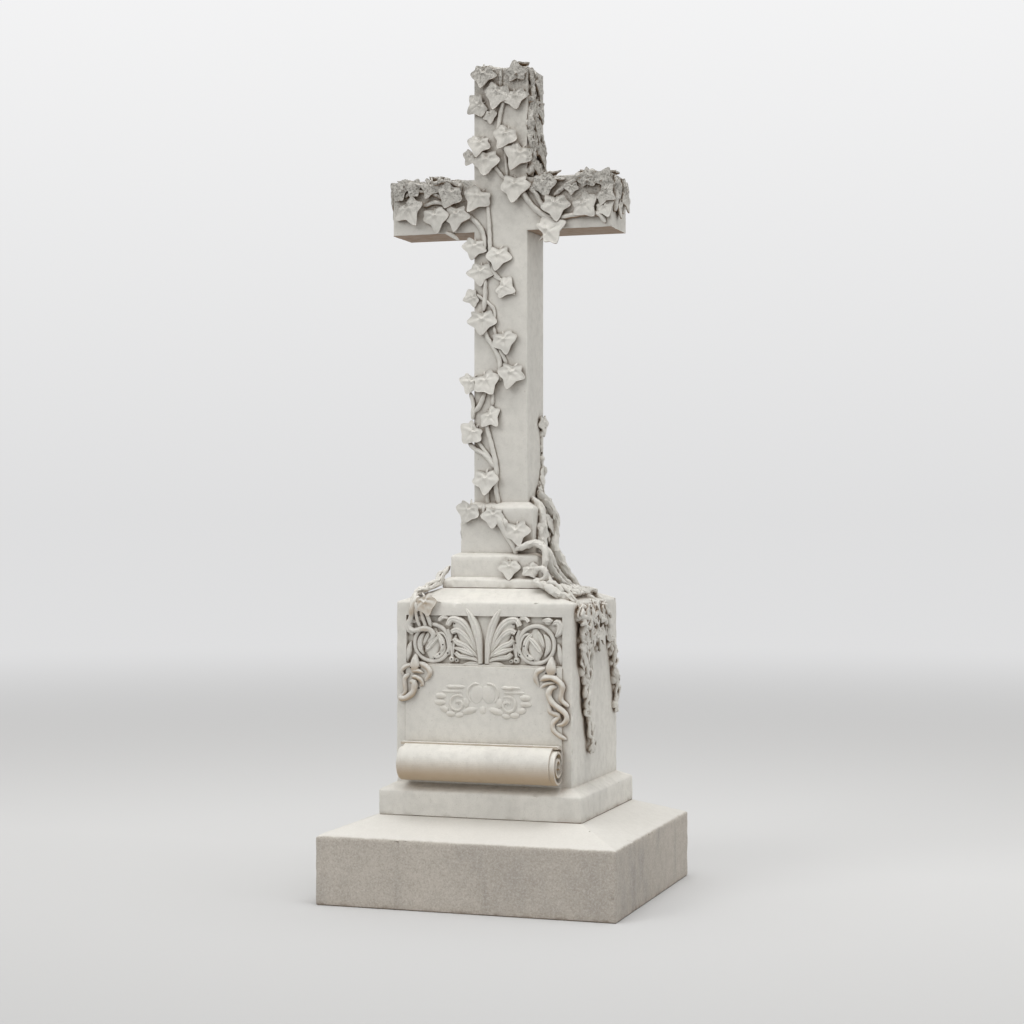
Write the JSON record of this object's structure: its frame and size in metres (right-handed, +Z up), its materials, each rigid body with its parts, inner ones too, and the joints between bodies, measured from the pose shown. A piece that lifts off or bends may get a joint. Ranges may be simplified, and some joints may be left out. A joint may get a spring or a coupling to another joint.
{
  "type": "ivy-carved cross gravestone",
  "caption": "Carved marble Latin cross grown over with ivy, on a stepped socket and a pedestal with a carved panel, an unrolled sheet and a scroll, above a weathered base slab.",
  "frame": {"origin": "centre of the base slab's underside, at ground level", "axes": "+Z up along the cross; -Y is the carved front; +X is to the right of someone facing the front"},
  "size_m": [0.88, 0.815, 2.4257],
  "materials": {
    "slab_marble": "rough sawn marble, weathered grey-beige with grey streaks",
    "pedestal_marble": "honed white marble, weathered, with brown dirt in the recesses",
    "cross_marble": "honed white marble, weathered, with grey lichen on the upper faces"
  },
  "bodies": {
    "root": {"base_slab": "slab_marble", "pedestal": "pedestal_marble", "cross": "cross_marble"}
  },
  "joints": []
}
